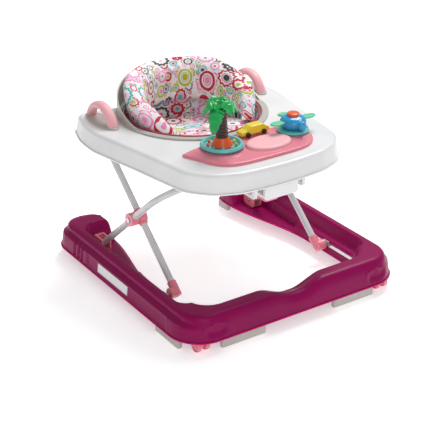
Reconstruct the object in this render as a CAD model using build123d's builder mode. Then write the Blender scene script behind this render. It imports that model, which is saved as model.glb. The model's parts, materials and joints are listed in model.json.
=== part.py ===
"""Baby walker: U-shaped rolling base, folding scissor legs, play tray and padded seat.

Millimetres. +Z is up, the front of the walker faces -Y and the baby faces that way.
The origin is on the floor, under the middle of the base. Left and right are mirror images.
"""
from build123d import *
import math
import os

os.makedirs("parts", exist_ok=True)

# ---- base ----
base_half_width = 302.0
base_half_length = 315.0
lip_z = 28.0
lip_height = 3.0
lip_overhang = 3.0
rail_top_z = 88.0
wall = 3.0
rail_inner_x = 226.0
rail_rear_inner_x = 178.0
front_bar_inner_y = -250.0
ledge_z = 58.0
ledge_outer_x = 252.0
ledge_front_y = -216.0
ledge_rear_y = 226.0
ledge_draft = -25.0
pocket_floor_z = 34.0
pocket_front_y = 12.0
side_draft = 7.0
saddle_z = 60.0
saddle_flat = 26.0
saddle_half = 96.0
step_z = 68.0
side_step = 7.0
panel_depth = 5.0
groove_places = (166, 184, 202)

# ---- scissor frame ----
tube_radius = 8.0
tube_wall = 1.4
lower_z = 48.0
upper_z = 306.0
rear_y = 194.0
front_y = -110.0
inner_leg_x = 205.0
outer_leg_x = 227.0
bend_radius = 92.0
tube_end = 7.0
hub_radius = 10.8
pin_radius = 3.0
running_gap = 0.05
cross_y = (rear_y + front_y) / 2
cross_z = (lower_z + upper_z) / 2
leg_length = math.hypot(rear_y - front_y, upper_z - lower_z)
leg_angle = math.degrees(math.atan2(upper_z - lower_z, rear_y - front_y))

# ---- foot slider ----
rod_x = 238.0
rod_radius = 2.5
foot_disc_radius = 13.0

# ---- casters ----
wheel_radius = 15.0
wheel_width = 10.0
wheel_spread = 11.0
axle_radius = 2.5
caster_trail = 8.0
stem_radius = 5.0
caster_front = (253.0, -279.0)
caster_rear = (243.0, 266.0)

# ---- tray ----
rim_z = 322.0
tray_top_z = 366.0
rim_step = 2.0
tray_draft = 12.0
ring_y = 134.0
ring_radius = 184.0
well_radius = 168.0
ring_flange_z = 370.0
panel_z = 373.0
handle_x = 212.0
handle_y = 198.0
handle_top_z = 416.0

# ---- toys on the panel ----
palm_x, palm_y = -72.0, -100.0
plane_x, plane_y = 118.0, -111.0
button_x, button_y = 28.0, -140.0
button_half_length, button_half_width = 58.0, 39.0
car_x, car_y = 28.0, -78.0

LEFT_RIGHT = (-1, 1)


def save(piece, name):
    """Label a finished piece and write it under its own name."""
    piece.label = name
    export_step(piece, f"parts/{name}.step")


def leg_plane(x, y, z, angle):
    """A plane whose normal runs along a leg that rises at this angle towards the rear."""
    run = Vector(0, math.cos(math.radians(angle)), math.sin(math.radians(angle)))
    return Plane(origin=(x, y, z), x_dir=(1, 0, 0), z_dir=run)


def base_outline(inset, side_inset=0):
    """Plan of the U-shaped base, open at the rear, drawn in all round and at its outer sides."""
    half = base_half_width - side_inset
    with BuildSketch() as outline:
        with BuildLine():
            Polyline(
                (0, -base_half_length),
                (half, -base_half_length),
                (half, base_half_length),
                (rail_rear_inner_x, base_half_length),
                (rail_rear_inner_x, 240),
                (rail_inner_x, -30),
                (rail_inner_x, front_bar_inner_y),
                (0, front_bar_inner_y),
            )
            mirror(about=Plane.YZ)
        make_face()
        corners = outline.vertices()
        fillet(corners.filter_by(lambda v: v.Y < -300 and abs(v.X) > 1), radius=78)
        fillet(outline.vertices().filter_by(lambda v: v.Y > 300 and abs(v.X) > 290), radius=62)
        fillet(outline.vertices().filter_by(lambda v: v.Y > 300 and abs(v.X) < 190), radius=50)
        fillet(outline.vertices().filter_by(
            lambda v: abs(v.Y - front_bar_inner_y) < 1 and abs(v.X) > 200), radius=42)
        fillet(outline.vertices().filter_by(lambda v: abs(v.Y + 30) < 1), radius=160)
        if inset:
            offset(amount=-inset, kind=Kind.INTERSECTION)
    return outline.sketch


def saddle_profile(drop):
    """The wave in the middle of the front bar's top, as an area to cut away, seen from the front."""
    low, high = saddle_z - drop, rail_top_z + 30
    with BuildSketch(Plane.XZ) as wave:
        with BuildLine():
            Spline(
                (saddle_flat, low),
                (saddle_half, rail_top_z - drop + 1),
                tangents=[(1, 0), (1, 0.12)],
            )
            Polyline(
                (saddle_half, rail_top_z - drop + 1),
                (saddle_half, high),
                (0, high),
                (0, low),
                (saddle_flat, low),
            )
        make_face()
        mirror(about=Plane.YZ)
    return wave.sketch


def ledge_area(grow):
    """The low inner half of both rails, where the folded legs lie."""
    with BuildSketch() as area:
        for side in LEFT_RIGHT:
            middle_x = side * (ledge_outer_x - 60)
            with Locations((middle_x, (ledge_front_y + ledge_rear_y) / 2)):
                RectangleRounded(120 + 2 * grow, ledge_rear_y - ledge_front_y + 2 * grow, 20 + grow)
    return area.sketch


def pocket_area(grow):
    """The deep pocket at the rear of each rail, round the rear leg pivot."""
    with BuildSketch() as area:
        with BuildLine():
            Polyline(
                (246 + grow, pocket_front_y - grow),
                (246 + grow, 220 + grow),
                (196 - grow, 220 + grow),
                (196 - grow, 172),
                (231 - grow, pocket_front_y - grow),
                close=True,
            )
        make_face()
        fillet(area.vertices(), radius=5)
        mirror(about=Plane.YZ)
    return area.sketch


def side_areas(grow):
    """Areas sunk into the outer side of a rail: the long panel and the three upright grooves."""
    with BuildSketch(Plane.YZ) as area:
        with Locations((-35, 49)):
            RectangleRounded(350 + 2 * grow, 30 + 2 * grow, 7 + grow)
        with Locations(*[(groove_y, 49) for groove_y in groove_places]):
            SlotOverall(34 + 2 * grow, 9 + 2 * grow, rotation=90)
    return area.sketch


# =============================== base ===============================

step_inset = (step_z - lip_z) * math.tan(math.radians(side_draft)) + 1.2

with BuildPart() as base_hollow:
    with BuildSketch(Plane.XY.offset(lip_z - 1)):
        add(base_outline(wall))
    extrude(amount=step_z - wall - lip_z + 1, taper=side_draft)
    with BuildSketch(Plane.XY.offset(step_z - wall - 1)):
        add(base_outline(step_inset + wall, side_step))
    extrude(amount=rail_top_z - step_z + 1, taper=side_draft)
    with BuildSketch(Plane.XY.offset(ledge_z - wall)):
        add(ledge_area(wall))
    extrude(amount=60, taper=ledge_draft, mode=Mode.SUBTRACT)
    with BuildSketch(Plane.XY.offset(pocket_floor_z - wall)):
        add(pocket_area(wall))
    extrude(amount=60, mode=Mode.SUBTRACT)
    with BuildSketch(Plane.XZ.offset(200)):
        add(saddle_profile(wall))
    extrude(amount=150, mode=Mode.SUBTRACT)
    for side in LEFT_RIGHT:
        panel_x = side * (base_half_width - panel_depth - wall)
        extrude(side_areas(wall).moved(Location((panel_x, 0, 0))), amount=side * 20, mode=Mode.SUBTRACT)
        with Locations((side * 233, -229, 46), (side * 233, -52, 46)):
            Box(28, 9, 24, mode=Mode.SUBTRACT)

with BuildPart() as base_shell:
    with BuildSketch(Plane.XY.offset(lip_z)):
        add(base_outline(0))
    extrude(amount=step_z - lip_z, taper=side_draft)
    with BuildSketch(Plane.XY.offset(step_z)):
        add(base_outline(step_inset, side_step))
    extrude(amount=rail_top_z - step_z, taper=side_draft)
    top = base_shell.faces().sort_by(Axis.Z)[-1]
    fillet(top.edges(), radius=13)
    for side in LEFT_RIGHT:
        panel_x = side * (base_half_width - panel_depth)
        extrude(side_areas(0).moved(Location((panel_x, 0, 0))), amount=side * 20, mode=Mode.SUBTRACT)
    with BuildSketch(Plane.XY.offset(ledge_z)):
        add(ledge_area(0))
    extrude(amount=60, taper=ledge_draft, mode=Mode.SUBTRACT)
    with BuildSketch(Plane.XZ.offset(200)):
        add(saddle_profile(0))
    extrude(amount=150, mode=Mode.SUBTRACT)
    with BuildSketch(Plane.XY.offset(lip_z)):
        add(base_outline(-lip_overhang))
    extrude(amount=lip_height)
    with BuildSketch(Plane.XY.offset(pocket_floor_z)):
        add(pocket_area(0))
    extrude(amount=60, mode=Mode.SUBTRACT)
    add(base_hollow.part, mode=Mode.SUBTRACT)
    for side in LEFT_RIGHT:
        # slot for the foot pin in the inner wall, and the two seats of the guide rod
        with BuildSketch(Plane.YZ.offset(side * (rail_inner_x + 3))):
            with Locations(((front_y - 25), lower_z)):
                SlotOverall(172, 9)
        extrude(amount=6, both=True, mode=Mode.SUBTRACT)
        with Locations(Location((side * rod_x, -140, lower_z), (90, 0, 0))):
            Cylinder(rod_radius, 190, mode=Mode.SUBTRACT)
save(base_shell.part, "base_shell")

with BuildPart() as anti_slip_pads:
    for side in LEFT_RIGHT:
        with BuildSketch(Plane.XY.offset(5)):
            with Locations((side * 155, -308)):
                RectangleRounded(118, 13, 5)
            with Locations((side * 291, -215)):
                RectangleRounded(13, 98, 5)
            with Locations((side * 187, 270)):
                RectangleRounded(13, 44, 5)
        extrude(amount=lip_z - 5)
    fillet(anti_slip_pads.faces().filter_by(lambda f: f.center().Z < 6).edges(), radius=2.5)
save(anti_slip_pads.part, "anti_slip_pads")

with BuildPart() as guide_rods:
    for side in LEFT_RIGHT:
        with Locations(Location((side * rod_x, -140.5, lower_z), (90, 0, 0))):
            Cylinder(rod_radius, 185)
save(guide_rods.part, "guide_rods")

with BuildPart() as rear_leg_brackets:
    for side in LEFT_RIGHT:
        with BuildSketch(Plane.YZ.offset(side * outer_leg_x)):
            with Locations((rear_y + 2, (pocket_floor_z + 68) / 2)):
                RectangleRounded(46, 68 - pocket_floor_z, 8)
        extrude(amount=12.5, both=True)
        with Locations((side * outer_leg_x, rear_y - 8, lower_z + 11.5)):
            Box(2 * tube_radius + 1, 42, 47, mode=Mode.SUBTRACT)
        with Locations(Location((side * outer_leg_x, rear_y, lower_z), (0, 90, 0))):
            Cylinder(pin_radius, 30, mode=Mode.SUBTRACT)
save(rear_leg_brackets.part, "rear_leg_brackets")

with BuildPart() as rear_leg_pins:
    for side in LEFT_RIGHT:
        with Locations(Location((side * outer_leg_x, rear_y, lower_z), (0, 90, 0))):
            Cylinder(pin_radius, 25)
save(rear_leg_pins.part, "rear_leg_pins")

caster_places = {
    "front_left": (-caster_front[0], caster_front[1]),
    "front_right": caster_front,
    "rear_left": (-caster_rear[0], caster_rear[1]),
    "rear_right": caster_rear,
}
fork_top_z = 2 * wheel_radius + 4
socket_top_z = rail_top_z - wall

with BuildPart() as caster_sockets:
    for x, y in caster_places.values():
        with Locations((x, y, (fork_top_z + 1.5 + socket_top_z) / 2)):
            Cylinder(stem_radius + 4, socket_top_z - fork_top_z - 1.5)
            Cylinder(stem_radius + running_gap, 60, mode=Mode.SUBTRACT)
save(caster_sockets.part, "caster_sockets")

for place, (x, y) in caster_places.items():
    axle_y = y - caster_trail
    gap = wheel_spread - wheel_width / 2

    with BuildPart() as fork:
        with BuildSketch(Plane.YZ.offset(x - gap + 0.5)):
            with BuildLine():
                Polyline(
                    (y - 12, fork_top_z), (y + 12, fork_top_z), (y + 6, wheel_radius + 2),
                    (axle_y + 6, wheel_radius - 6), (axle_y - 6, wheel_radius - 6),
                    (axle_y - 7, wheel_radius + 4), close=True,
                )
            make_face()
        extrude(amount=2 * gap - 1)
        with Locations((x, y, fork_top_z)):
            Cylinder(11, 2)
        with Locations((x, y, fork_top_z + 18)):
            Cylinder(stem_radius, 37)
        with Locations(Location((x, axle_y, wheel_radius), (0, 90, 0))):
            Cylinder(axle_radius, 30, mode=Mode.SUBTRACT)
    save(fork.part, f"caster_fork_{place}")

    with BuildPart() as wheels:
        for side in LEFT_RIGHT:
            with BuildSketch(Plane.XY) as tread:
                with BuildLine():
                    half = wheel_width / 2
                    bore = axle_radius + running_gap
                    shoulder = wheel_radius - 1.5
                    Polyline(
                        (bore, -half), (7, -half), (8, -half + 2), (12, -half + 2),
                        (13, -half), (shoulder, -half),
                    )
                    ThreePointArc((shoulder, -half), (wheel_radius, 0), (shoulder, half))
                    Polyline(
                        (shoulder, half), (13, half), (12, half - 2), (8, half - 2),
                        (7, half), (bore, half), (bore, -half),
                    )
                make_face()
            wheel_centre = (x + side * wheel_spread, axle_y, wheel_radius)
            wheel_plane = Plane(origin=wheel_centre, x_dir=(0, 1, 0), z_dir=(0, 0, 1))
            revolve(wheel_plane * tread.sketch, axis=Axis(wheel_plane.origin, (1, 0, 0)))
    save(wheels.part, f"caster_wheels_{place}")

    with BuildPart() as axle:
        with Locations(Location((x, axle_y, wheel_radius), (0, 90, 0))):
            Cylinder(axle_radius, 2 * wheel_spread + wheel_width - 2)
    save(axle.part, f"caster_axle_{place}")

with BuildPart() as blank_label:
    with BuildSketch(Plane.YZ.offset(-(base_half_width - panel_depth))):
        with Locations((22, 49)):
            RectangleRounded(140, 26, 2)
    extrude(amount=-0.5)
save(blank_label.part, "blank_label")

# =========================== folding frame ===========================

lower_dir = Vector(0, -math.cos(math.radians(leg_angle)), math.sin(math.radians(leg_angle)))


def outer_point(x, along):
    """A point on the outer leg's plane: x across, and a distance along the leg from its rear pivot."""
    return Vector(x, rear_y, lower_z) + lower_dir * along


with BuildPart() as outer_leg_frame:
    with BuildLine() as outer_route:
        FilletPolyline(
            outer_point(-outer_leg_x, -tube_end),
            outer_point(-outer_leg_x, leg_length),
            outer_point(outer_leg_x, leg_length),
            outer_point(outer_leg_x, -tube_end),
            radius=bend_radius,
        )
    with BuildSketch(Plane(origin=outer_point(-outer_leg_x, -tube_end), x_dir=(1, 0, 0), z_dir=lower_dir)):
        Circle(tube_radius)
        Circle(tube_radius - tube_wall, mode=Mode.SUBTRACT)
    sweep(path=outer_route.line)
    for side in LEFT_RIGHT:
        with Locations(Location((side * outer_leg_x, rear_y, lower_z), (0, 90, 0))):
            Cylinder(pin_radius + running_gap, 40, mode=Mode.SUBTRACT)
        with Locations(Location((side * outer_leg_x, cross_y, cross_z), (0, 90, 0))):
            Cylinder(pin_radius, 40, mode=Mode.SUBTRACT)
save(outer_leg_frame.part, "outer_leg_frame")

with BuildPart() as inner_legs:
    for side in LEFT_RIGHT:
        with BuildSketch(leg_plane(side * inner_leg_x, front_y, lower_z, leg_angle).offset(-tube_end)):
            Circle(tube_radius)
            Circle(tube_radius - tube_wall, mode=Mode.SUBTRACT)
        extrude(amount=leg_length + 2 * tube_end)
        with Locations(
            Location((side * inner_leg_x, rear_y, upper_z), (0, 90, 0)),
            Location((side * inner_leg_x, cross_y, cross_z), (0, 90, 0)),
        ):
            Cylinder(pin_radius + running_gap, 40, mode=Mode.SUBTRACT)
        with Locations(Location((side * inner_leg_x, front_y, lower_z), (0, 90, 0))):
            Cylinder(pin_radius, 40, mode=Mode.SUBTRACT)
save(inner_legs.part, "inner_legs")


def hub_sleeve(x, angle, bore):
    """A clamp half on one tube: a short sleeve along the leg and a round boss for the screw."""
    with BuildPart() as sleeve:
        for side in LEFT_RIGHT:
            with BuildSketch(leg_plane(side * x, cross_y, cross_z, angle)):
                Circle(hub_radius)
            extrude(amount=20, both=True)
        fillet(sleeve.edges().filter_by(GeomType.CIRCLE), radius=2)
        for side in LEFT_RIGHT:
            with Locations(Location((side * x, cross_y, cross_z), (0, 90, 0))):
                Cylinder(16, 2 * hub_radius - 1)
                Cylinder(bore, 60, mode=Mode.SUBTRACT)
            with BuildSketch(leg_plane(side * x, cross_y, cross_z, angle)):
                Circle(tube_radius)
            extrude(amount=60, both=True, mode=Mode.SUBTRACT)
    return sleeve.part


save(hub_sleeve(outer_leg_x, 180 - leg_angle, pin_radius), "hub_clamps_outer")
save(hub_sleeve(inner_leg_x, leg_angle, pin_radius + running_gap), "hub_clamps_inner")

with BuildPart() as hub_screws:
    for side in LEFT_RIGHT:
        with Locations(Location((side * (inner_leg_x + outer_leg_x) / 2, cross_y, cross_z), (0, 90, 0))):
            Cylinder(pin_radius, outer_leg_x - inner_leg_x + 2 * hub_radius + 0.1)
        with Locations(Location((side * (outer_leg_x + hub_radius + 1.05), cross_y, cross_z), (0, 90, 0))):
            Cylinder(6, 2)
save(hub_screws.part, "hub_screws")

with BuildPart() as foot_collars:
    for side in LEFT_RIGHT:
        with BuildSketch(leg_plane(side * inner_leg_x, front_y, lower_z, leg_angle).offset(-tube_end - 4)):
            Circle(hub_radius)
        extrude(amount=38)
    fillet(foot_collars.edges().filter_by(GeomType.CIRCLE), radius=2)
    for side in LEFT_RIGHT:
        with Locations(Location((side * (inner_leg_x + 9), front_y, lower_z), (0, 90, 0))):
            Cylinder(foot_disc_radius, 18)
        with Locations(Location((side * (inner_leg_x + 12), front_y, lower_z), (0, 90, 0))):
            Cylinder(pin_radius, 50, mode=Mode.SUBTRACT)
        with BuildSketch(leg_plane(side * inner_leg_x, front_y, lower_z, leg_angle).offset(-tube_end)):
            Circle(tube_radius)
        extrude(amount=80, mode=Mode.SUBTRACT)
save(foot_collars.part, "foot_collars")

slider_inner_x = rod_x - 5.6
foot_pin_start = inner_leg_x - 9
foot_pin_end = slider_inner_x + 2
with BuildPart() as foot_pins:
    for side in LEFT_RIGHT:
        pin_x = side * (foot_pin_start + foot_pin_end) / 2
        with Locations(Location((pin_x, front_y, lower_z), (0, 90, 0))):
            Cylinder(pin_radius, foot_pin_end - foot_pin_start)
save(foot_pins.part, "foot_pins")

with BuildPart() as foot_sliders:
    for side in LEFT_RIGHT:
        with Locations((side * (rod_x + 0.2), front_y, lower_z)):
            Box(11.6, 20, 13)
        with Locations(Location((side * rod_x, front_y, lower_z), (90, 0, 0))):
            Cylinder(rod_radius + 0.08, 40, mode=Mode.SUBTRACT)
        with Locations(Location((side * (slider_inner_x + 1.02), front_y, lower_z), (0, 90, 0))):
            Cylinder(pin_radius + running_gap, 2.2, mode=Mode.SUBTRACT)
save(foot_sliders.part, "foot_sliders")

roller_x = 66.0
roller_radius = tube_radius + 2.5
with BuildPart() as guide_rollers:
    for side in LEFT_RIGHT:
        with Locations(Location(tuple(outer_point(side * roller_x, leg_length)), (0, 90, 0))):
            Cylinder(roller_radius, 20)
            Cylinder(tube_radius, 30, mode=Mode.SUBTRACT)
save(guide_rollers.part, "guide_rollers")

# =============================== tray ===============================


def tray_outline(inset):
    """Plan of the tray: rounded front corners, wide sides, and an arc round the seat at the rear."""
    rear_arc = ring_radius
    joint_x = 119.0
    joint_y = ring_y + math.sqrt(rear_arc**2 - joint_x**2)
    with BuildSketch() as outline:
        with BuildLine():
            ThreePointArc((0, -250), (62, -247.5), (118, -240))
            Polyline(
                (118, -240), (172, -218), (216, -168), (243, -10),
                (272, 140), (268, 210), (243, 290), (joint_x, joint_y),
            )
            ThreePointArc(
                (joint_x, joint_y),
                (62, ring_y + math.sqrt(rear_arc**2 - 62**2)),
                (0, ring_y + rear_arc),
            )
            mirror(about=Plane.YZ)
        make_face()
        fillet(outline.vertices().filter_by(lambda v: v.Y < -235 and abs(v.X) > 100), radius=60)
        fillet(outline.vertices().filter_by(lambda v: -220 < v.Y < -210), radius=80)
        fillet(outline.vertices().filter_by(lambda v: -170 < v.Y < -160), radius=80)
        fillet(outline.vertices().filter_by(lambda v: abs(v.Y + 10) < 1), radius=260)
        fillet(outline.vertices().filter_by(lambda v: abs(v.Y - 140) < 1), radius=160)
        fillet(outline.vertices().filter_by(lambda v: abs(v.Y - 210) < 1), radius=120)
        fillet(outline.vertices().filter_by(lambda v: abs(v.X) > 235 and v.Y > 280), radius=30)
        fillet(outline.vertices().filter_by(lambda v: abs(abs(v.X) - joint_x) < 1 and v.Y > 260), radius=24)
        if inset:
            offset(amount=-inset, kind=Kind.INTERSECTION)
    return outline.sketch


with BuildPart() as tray_hollow:
    with BuildSketch(Plane.XY.offset(rim_z - 1)):
        add(tray_outline(rim_step + wall))
    extrude(amount=tray_top_z - wall - rim_z + 1, taper=tray_draft)

with BuildPart() as tray_shell:
    with BuildSketch(Plane.XY.offset(rim_z)):
        add(tray_outline(rim_step))
    extrude(amount=tray_top_z - rim_z, taper=tray_draft)
    fillet(tray_shell.faces().sort_by(Axis.Z)[-1].edges(), radius=10)
    with BuildSketch(Plane.XY.offset(rim_z)):
        add(tray_outline(0))
    extrude(amount=3)
    add(tray_hollow.part, mode=Mode.SUBTRACT)
    with Locations((0, ring_y, rim_z + 20)):
        Cylinder(well_radius + 4, 80, mode=Mode.SUBTRACT)
    with Locations((button_x, button_y, tray_top_z)):
        Cylinder(7, 20, mode=Mode.SUBTRACT)
save(tray_shell.part, "tray_shell")

collar_inner = 177.0
with BuildPart() as seat_ring:
    with BuildSketch(Plane.XZ):
        with Locations((ring_radius / 2 + well_radius / 2, (tray_top_z + ring_flange_z) / 2)):
            RectangleRounded(ring_radius - well_radius, ring_flange_z - tray_top_z, 1.5)
        with Locations((well_radius + 1.5, 350)):
            Rectangle(3, 36)
        with Locations((collar_inner + 2, 402)):
            RectangleRounded(4, 68, 1.9)
    revolve(axis=Axis.Z)
    with BuildSketch(Plane.YZ):
        with BuildLine():
            Polyline((-220, ring_flange_z), (-40, ring_flange_z), (185, 440), (-220, 440), close=True)
        make_face()
    extrude(amount=220, both=True, mode=Mode.SUBTRACT)
    seat_ring.part = seat_ring.part.moved(Location((0, ring_y, 0)))
save(seat_ring.part, "seat_ring")

plate_half_width, plate_half_length = 25.0, 68.0
with BuildPart() as handle_plates:
    with BuildSketch(Plane.XY.offset(tray_top_z)):
        with Locations((-handle_x, handle_y), (handle_x, handle_y)):
            Ellipse(plate_half_width, plate_half_length)
    extrude(amount=4)
    fillet(handle_plates.edges().group_by(Axis.Z)[-1], radius=1.8)
save(handle_plates.part, "handle_plates")

with BuildPart() as handle_grips:
    for side in LEFT_RIGHT:
        with BuildLine() as arch:
            ThreePointArc(
                (side * handle_x, handle_y - 54, 362),
                (side * handle_x, handle_y, handle_top_z - 9),
                (side * handle_x, handle_y + 54, 362),
            )
        with BuildSketch(Plane(origin=arch.line @ 0, x_dir=(1, 0, 0), z_dir=arch.line % 0)):
            Ellipse(13, 9)
        sweep(path=arch.line)
    with Locations((0, handle_y, 360)):
        Box(600, 200, 20, mode=Mode.SUBTRACT)
save(handle_grips.part, "handle_grips")

with BuildPart() as tray_pivot_blocks:
    for side in LEFT_RIGHT:
        for x in (inner_leg_x - 10.3, inner_leg_x + 10.3):
            with BuildSketch(Plane.YZ.offset(side * x)):
                with Locations((rear_y, 328.5)):
                    RectangleRounded(26, 68, 9)
            extrude(amount=1.8, both=True)
        with Locations(Location((side * inner_leg_x, rear_y, upper_z), (0, 90, 0))):
            Cylinder(pin_radius, 40, mode=Mode.SUBTRACT)
save(tray_pivot_blocks.part, "tray_pivot_blocks")

with BuildPart() as tray_pivot_pins:
    for side in LEFT_RIGHT:
        with Locations(Location((side * inner_leg_x, rear_y, upper_z), (0, 90, 0))):
            Cylinder(pin_radius, 25)
save(tray_pivot_pins.part, "tray_pivot_pins")

slot_middle_y = -146.0
with BuildPart() as roller_guides:
    for side in LEFT_RIGHT:
        with BuildSketch(Plane.YZ.offset(side * roller_x)):
            with Locations((slot_middle_y, 306)):
                RectangleRounded(156, 34, 6)
            with Locations((slot_middle_y + 8, 341)):
                Rectangle(120, 43)
            with Locations((slot_middle_y, upper_z)):
                SlotOverall(120 + 2 * roller_radius, 2 * roller_radius + 0.8, mode=Mode.SUBTRACT)
        extrude(amount=4, both=True)
save(roller_guides.part, "roller_guides")

housing_half_width = 46.0
housing_front_y, housing_rear_y = -232.0, -150.0
housing_floor_z = 283.0
latch_x, latch_y = -22.0, -158.0
latch_pin_z = 279.5
latch_width = 36.0
slot_floor_z = 294.0
with BuildPart() as front_housing:
    with BuildSketch(Plane.YZ):
        with BuildLine():
            Polyline(
                (housing_front_y, rim_z),
                (housing_front_y, housing_floor_z),
                (housing_rear_y, housing_floor_z),
                (housing_rear_y, slot_floor_z),
                (housing_front_y + 9, slot_floor_z),
                (housing_front_y + 9, rim_z),
                close=True,
            )
        make_face()
    extrude(amount=housing_half_width, both=True)
    bottom = front_housing.faces().sort_by(Axis.Z)[0]
    fillet(bottom.edges().filter_by(Axis.Y), radius=8)
    fillet(front_housing.faces().sort_by(Axis.Z)[0].edges(), radius=3)
    with Locations((0, housing_front_y + 4, 341)):
        Box(80, 4, 43)
    for side in LEFT_RIGHT:
        with Locations((latch_x + side * (latch_width / 2 + 2.5), latch_y, latch_pin_z + 2)):
            Box(4, 12, 10)
    with Locations(Location((latch_x, latch_y, latch_pin_z), (0, 90, 0))):
        Cylinder(2, latch_width + 20, mode=Mode.SUBTRACT)
save(front_housing.part, "front_housing")

with BuildPart() as latch_lever:
    with BuildSketch(Plane.XY.offset(latch_pin_z - 3)):
        with Locations((latch_x, latch_y - 31)):
            RectangleRounded(latch_width, 70, 6)
    extrude(amount=5.5)
    with Locations(Location((latch_x, latch_y, latch_pin_z), (0, 90, 0))):
        Cylinder(2.06, latch_width + 20, mode=Mode.SUBTRACT)
save(latch_lever.part, "latch_lever")

with BuildPart() as latch_pin:
    with Locations(Location((latch_x, latch_y, latch_pin_z), (0, 90, 0))):
        Cylinder(2, latch_width + 9)
save(latch_pin.part, "latch_pin")

# ---- toy panel and what hangs under it ----

with BuildPart() as toy_panel:
    with BuildSketch(Plane.XY.offset(tray_top_z)):
        with BuildLine():
            Spline(
                (0, -200), (60, -199), (106, -190), (134, -166), (152, -124), (168, -86),
                tangents=[(1, 0), (0.3, 1)],
            )
            ThreePointArc((168, -86), (84, -66), (0, -63))
            mirror(about=Plane.YZ)
        make_face()
    extrude(amount=panel_z - tray_top_z)
    fillet(toy_panel.edges().group_by(Axis.Z)[-1], radius=2.5)
    with BuildSketch(Plane.XY.offset(tray_top_z)):
        with Locations((button_x, button_y)):
            Ellipse(button_half_length + 0.6, button_half_width + 0.6)
    extrude(amount=20, mode=Mode.SUBTRACT)
save(toy_panel.part, "toy_panel")

with BuildPart() as music_button:
    with BuildSketch(Plane.XY.offset(tray_top_z + 3.5)):
        with Locations((button_x, button_y)):
            Ellipse(button_half_length, button_half_width)
    extrude(amount=10)
    fillet(music_button.edges().group_by(Axis.Z)[-1], radius=7)
    with Locations((button_x, button_y, 361.5)):
        Cylinder(5, 17)
save(music_button.part, "music_button")

with BuildPart() as battery_box:
    with Locations((-29, -155, 346.2)):
        Box(52, 88, 33.4)
        Box(47, 83, 40, mode=Mode.SUBTRACT)
    with Locations((-29, -155, 361.4)):
        Box(52, 88, 3)
save(battery_box.part, "battery_box")

with BuildPart() as battery_cover:
    with BuildSketch(Plane.XY.offset(327)):
        with Locations((-29, -155)):
            RectangleRounded(54, 90, 4)
    extrude(amount=2.4)
save(battery_cover.part, "battery_cover")

with BuildPart() as batteries:
    for x in (-45, -29, -13):
        with Locations(Location((x, -155, 344), (90, 0, 0))):
            Cylinder(7, 48)
            Cylinder(2.7, 50.5)
save(batteries.part, "batteries")

with BuildPart() as circuit_board:
    with Locations((29, -150, 347.8)):
        Box(50, 80, 1.6)
    with Locations((29, -150, 346)):
        Box(14, 14, 2)
    with Locations((8, -115, 355.8), (50, -115, 355.8), (8, -185, 355.8), (50, -185, 355.8)):
        Cylinder(2.5, 14.4)
save(circuit_board.part, "circuit_board")

with BuildPart() as speaker:
    with Locations((29, -150, 340.7)):
        Cylinder(18, 4)
    with Locations((29, -150, 335)):
        Cylinder(11, 7.4)
    with Locations((29, -150, 343.85)):
        Cylinder(20, 2.3)
save(speaker.part, "speaker")

# ---- toys ----

with BuildPart() as palm_dish:
    with BuildSketch(Plane.XZ):
        with BuildLine():
            Polyline((0, panel_z), (44, panel_z), (50, panel_z + 6), (47, panel_z + 11), (42, panel_z + 11),
                     (38, panel_z + 3.5), (0, panel_z + 3.5), close=True)
        make_face()
    revolve(axis=Axis.Z)
    palm_dish.part = palm_dish.part.moved(Location((palm_x, palm_y, 0)))
save(palm_dish.part, "palm_dish")

with BuildPart() as dish_beads:
    for turn in range(9):
        angle = math.radians(40 * turn)
        with Locations((palm_x + 32.5 * math.cos(angle), palm_y + 32.5 * math.sin(angle), panel_z + 7.6)):
            Sphere(4)
save(dish_beads.part, "dish_beads")

palm_base_z = panel_z + 4
with BuildPart() as palm_base:
    with BuildSketch(Plane.XZ):
        with BuildLine():
            Polyline((0, palm_base_z), (25, palm_base_z), (25, palm_base_z + 3))
            Spline((25, palm_base_z + 3), (20, palm_base_z + 11), (15, palm_base_z + 21))
            Polyline((15, palm_base_z + 21), (0, palm_base_z + 21), (0, palm_base_z))
        make_face()
    revolve(axis=Axis.Z)
    palm_base.part = palm_base.part.moved(Location((palm_x, palm_y, 0)))
save(palm_base.part, "palm_base")

trunk_low_z = palm_base_z + 21
trunk_rings = 7
ring_step = 9.0
with BuildPart() as palm_trunk:
    for ring in range(trunk_rings):
        base_radius = 13.5 - 0.6 * ring
        with Locations((palm_x - 0.5 * ring, palm_y, trunk_low_z + ring_step * (ring + 0.5))):
            Cone(base_radius - 1.5, base_radius, ring_step)
save(palm_trunk.part, "palm_trunk")

crown_z = trunk_low_z + trunk_rings * ring_step
crown_x = palm_x - 3.5
with BuildPart() as palm_leaves:
    with Locations((crown_x, palm_y, crown_z + 7)):
        Cylinder(9, 14)
    for leaf in range(6):
        turn = 60 * leaf + 20
        rise = 20 if leaf % 2 else -28
        leaf_root = Location((crown_x, palm_y, crown_z + 9), (0, 0, turn))
        leaf_place = leaf_root * Location((0, 0, 0), (0, -rise, 0))
        with BuildSketch(Plane(leaf_place)):
            with Locations((25, 0)):
                Ellipse(23, 12)
        extrude(amount=2.5, both=True)
save(palm_leaves.part, "palm_leaves")

car_floor_z = panel_z + 1
with BuildPart() as car_body:
    with BuildSketch(Plane.XZ.offset(-car_y)):
        with BuildLine():
            Polyline(
                (car_x - 39, car_floor_z + 4), (car_x - 38, car_floor_z + 13),
                (car_x - 24, car_floor_z + 16), (car_x - 13, car_floor_z + 25),
                (car_x + 20, car_floor_z + 25), (car_x + 32, car_floor_z + 17),
                (car_x + 39, car_floor_z + 14), (car_x + 39, car_floor_z + 4), close=True,
            )
        make_face()
    extrude(amount=12, both=True)
    fillet(car_body.edges().filter_by(lambda e: abs(e.center().Y - car_y) > 11.9), radius=2.5)
save(car_body.part, "car_body")

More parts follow.
